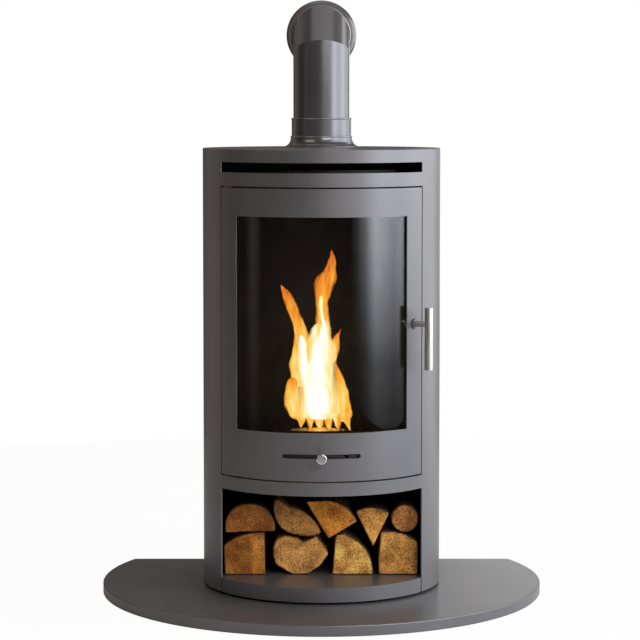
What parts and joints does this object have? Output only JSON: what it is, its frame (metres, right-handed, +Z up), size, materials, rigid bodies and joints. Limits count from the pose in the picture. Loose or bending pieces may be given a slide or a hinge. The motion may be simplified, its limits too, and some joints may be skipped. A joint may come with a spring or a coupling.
{
  "type": "bioethanol stove",
  "caption": "Round freestanding bioethanol stove with a curved glass door, lever handle, air slider, ethanol burner, open log store, hearth plate and decorative pipe to the wall.",
  "frame": {"origin": "on the floor, at the underside of the hearth plate, on the axis of the round body", "axes": "+Z up along the body's axis, +Y towards the wall, -Y the front with the door, +X to the right seen from the front"},
  "size_m": [0.7638, 0.554, 1.0355],
  "materials": {
    "body_paint": "satin metallic charcoal stove paint",
    "inner_black": "matt black heat-proof paint",
    "stainless": "fine brushed stainless steel",
    "polished_steel": "polished steel",
    "window_glass": "clear curved ceramic glass",
    "gasket": "flat woven glass-fibre tape, black",
    "bush_brass": "plain turned brass",
    "burner_wool": "white ceramic wool",
    "foot_pad": "black rubber",
    "log_wood": "split dry logs with bark"
  },
  "bodies": {
    "cabinet": {"hearth_plate": "body_paint", "foot_pads": "foot_pad", "side_panel_right": "body_paint", "side_panel_left": "body_paint", "vent_fascia": "body_paint", "log_store_lintel": "body_paint", "back_panel": "body_paint", "back_panel_screws": "stainless", "top_plate": "body_paint", "base_plate": "inner_black", "log_tray": "body_paint", "tray_posts": "inner_black", "log_store_ceiling": "inner_black", "log_store_back": "inner_black", "firebox_floor": "inner_black", "firebox_liner": "inner_black", "firebox_ceiling": "inner_black", "vent_deflector": "inner_black", "top_heat_shield": "inner_black", "heat_shield_spacers": "inner_black", "hinge_brackets": "inner_black", "hinge_pins": "stainless", "latch_keeper": "inner_black", "burner_tray": "stainless", "pipe_spigot": "inner_black", "pipe_base_ring": "body_paint", "pipe_collar": "body_paint", "straight_pipe": "body_paint", "elbow_segment": "body_paint", "elbow_outlet": "body_paint", "wall_ring": "body_paint", "log_1": "log_wood", "log_2": "log_wood", "log_3": "log_wood", "log_4": "log_wood", "log_5": "log_wood", "log_6": "log_wood", "log_7": "log_wood", "log_8": "log_wood", "log_9": "log_wood"},
    "door": {"door_skin": "body_paint", "door_inner_frame": "inner_black", "door_glass": "window_glass", "glass_gasket": "gasket", "glass_clips": "inner_black", "glass_clip_screws": "stainless", "shutter_rails": "inner_black", "door_hinge_bushes": "bush_brass", "handle_collar": "stainless"},
    "handle": {"handle_bar": "stainless", "handle_spindle": "stainless", "latch_tongue": "stainless", "spindle_nut": "stainless"},
    "air_control": {"air_shutter": "inner_black", "knob_stem": "polished_steel", "slider_knob": "polished_steel"},
    "burner": {"burner_box": "stainless", "burner_wool": "burner_wool", "burner_top": "stainless"},
    "lid": {"burner_lid": "stainless"}
  },
  "joints": [
    {"name": "door_swing", "type": "hinge", "parent": "cabinet", "child": "door", "pos_m": [-0.15733, -0.11856, 0.468], "axis": [0, 0, -1], "range_deg": [0, 95]},
    {"name": "handle_turn", "type": "hinge", "parent": "door", "child": "handle", "pos_m": [0.17899, -0.15072, 0.4805], "axis": [0.7649, -0.6441, 0], "range_deg": [0, 70]},
    {"name": "air_slide", "type": "hinge", "parent": "door", "child": "air_control", "pos_m": [0, 0, 0.266], "axis": [0, 0, 1], "range_deg": [-16, 16]},
    {"name": "burner_lift", "type": "slide", "parent": "cabinet", "child": "burner", "axis": [0, 0, 1], "range_m": [0, 0.06]},
    {"name": "lid_slide", "type": "slide", "parent": "burner", "child": "lid", "axis": [0, -1, 0], "range_m": [0, 0.043]}
  ]
}
